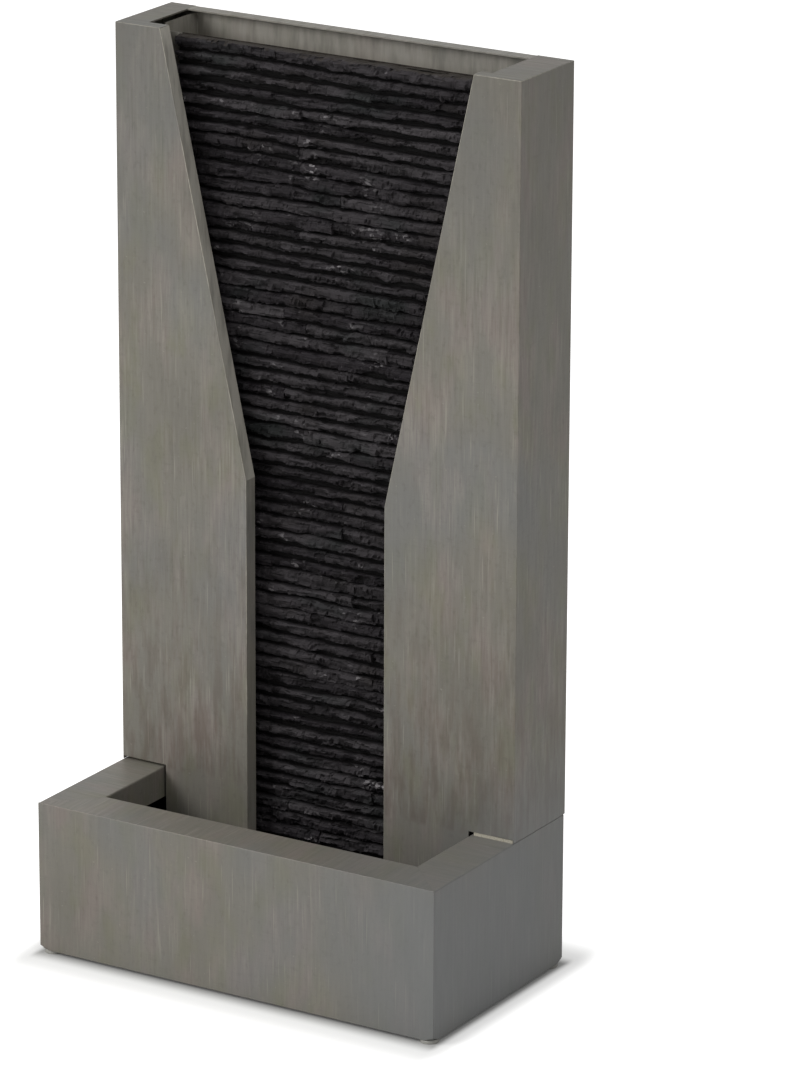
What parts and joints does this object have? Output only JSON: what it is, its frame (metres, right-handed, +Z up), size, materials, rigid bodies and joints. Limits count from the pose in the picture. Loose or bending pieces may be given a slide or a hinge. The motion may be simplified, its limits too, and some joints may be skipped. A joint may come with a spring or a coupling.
{
  "type": "garden wall fountain",
  "caption": "Free-standing sheet-metal fountain: folded wings frame a split-slate water wall above a mitred basin that holds the pump.",
  "frame": {"origin": "on the ground, under the middle of the fountain's overall width and depth", "axes": "+Z up, front of the basin towards -Y, +X to the right seen from the front"},
  "size_m": [0.46, 0.25, 0.925],
  "materials": {
    "zinc_sheet": "weathered grey zinc, vertical grain",
    "galvanised_sheet": "plain galvanised",
    "steel_fasteners": "plain",
    "black_tub": "matt black",
    "grey_rubber": "matt light grey",
    "black_rubber": "matt black",
    "seat_strip": "matt light grey",
    "slate": "split, slightly glossy",
    "grey_board": "matt",
    "black_fittings": "satin black",
    "black_hose": "satin black",
    "pump_plastic": "satin black",
    "filter_sponge": "open foam",
    "ceramic_shaft": "polished",
    "ferrite_magnet": "moulded",
    "impeller_plastic": "satin white"
  },
  "bodies": {
    "basin": {"basin_wall_front": "zinc_sheet", "basin_wall_left": "zinc_sheet", "basin_wall_right": "zinc_sheet", "basin_wall_rear": "zinc_sheet", "basin_floor": "zinc_sheet", "basin_liner": "black_tub", "foot_front_left": "grey_rubber", "foot_front_right": "grey_rubber", "foot_rear_left": "grey_rubber", "foot_rear_right": "grey_rubber", "cable_grommet": "black_rubber", "pump_motor": "pump_plastic", "pump_volute": "pump_plastic", "pump_nozzle": "black_fittings", "pump_shaft": "ceramic_shaft", "pump_bush_front": "black_rubber", "pump_bush_rear": "black_rubber", "pump_gland": "black_fittings", "suction_cup_front_left": "black_rubber", "suction_cup_rear_left": "black_rubber", "suction_cup_front_right": "black_rubber", "suction_cup_rear_right": "black_rubber"},
    "tower": {"tower_side_left": "zinc_sheet", "tower_side_right": "zinc_sheet", "tower_back_panel": "zinc_sheet", "tower_seat_left": "seat_strip", "tower_seat_right": "seat_strip", "slate_wall": "slate", "slate_board": "grey_board", "slate_bracket_upper": "galvanised_sheet", "slate_bracket_lower": "galvanised_sheet", "bracket_rivets": "steel_fasteners", "slate_screws": "steel_fasteners", "spill_trough": "zinc_sheet", "trough_inlet": "black_fittings", "trough_seal": "black_rubber", "trough_nut": "black_fittings", "riser_hose": "black_hose", "hose_clamp": "steel_fasteners", "hose_clip": "black_fittings"},
    "rotor": {"rotor_magnet": "ferrite_magnet", "impeller": "impeller_plastic"},
    "strainer": {"pump_strainer": "pump_plastic", "pump_sponge": "filter_sponge"},
    "dial": {"flow_dial": "pump_plastic", "flow_shutter": "pump_plastic"}
  },
  "joints": [
    {"name": "tower_lift", "type": "slide", "parent": "basin", "child": "tower", "axis": [0, 0, 1], "range_m": [0, 0.2]},
    {"name": "impeller_spin", "type": "hinge", "parent": "basin", "child": "rotor", "pos_m": [0.01, 0.092, 0.0365], "axis": [1, 0, 0], "continuous": true},
    {"name": "strainer_pull", "type": "slide", "parent": "basin", "child": "strainer", "axis": [-1, 0, 0], "range_m": [0, 0.03]},
    {"name": "flow_dial_turn", "type": "hinge", "parent": "strainer", "child": "dial", "pos_m": [-0.035, 0.092, 0.0365], "axis": [-1, 0, 0], "range_deg": [0, 60]}
  ]
}
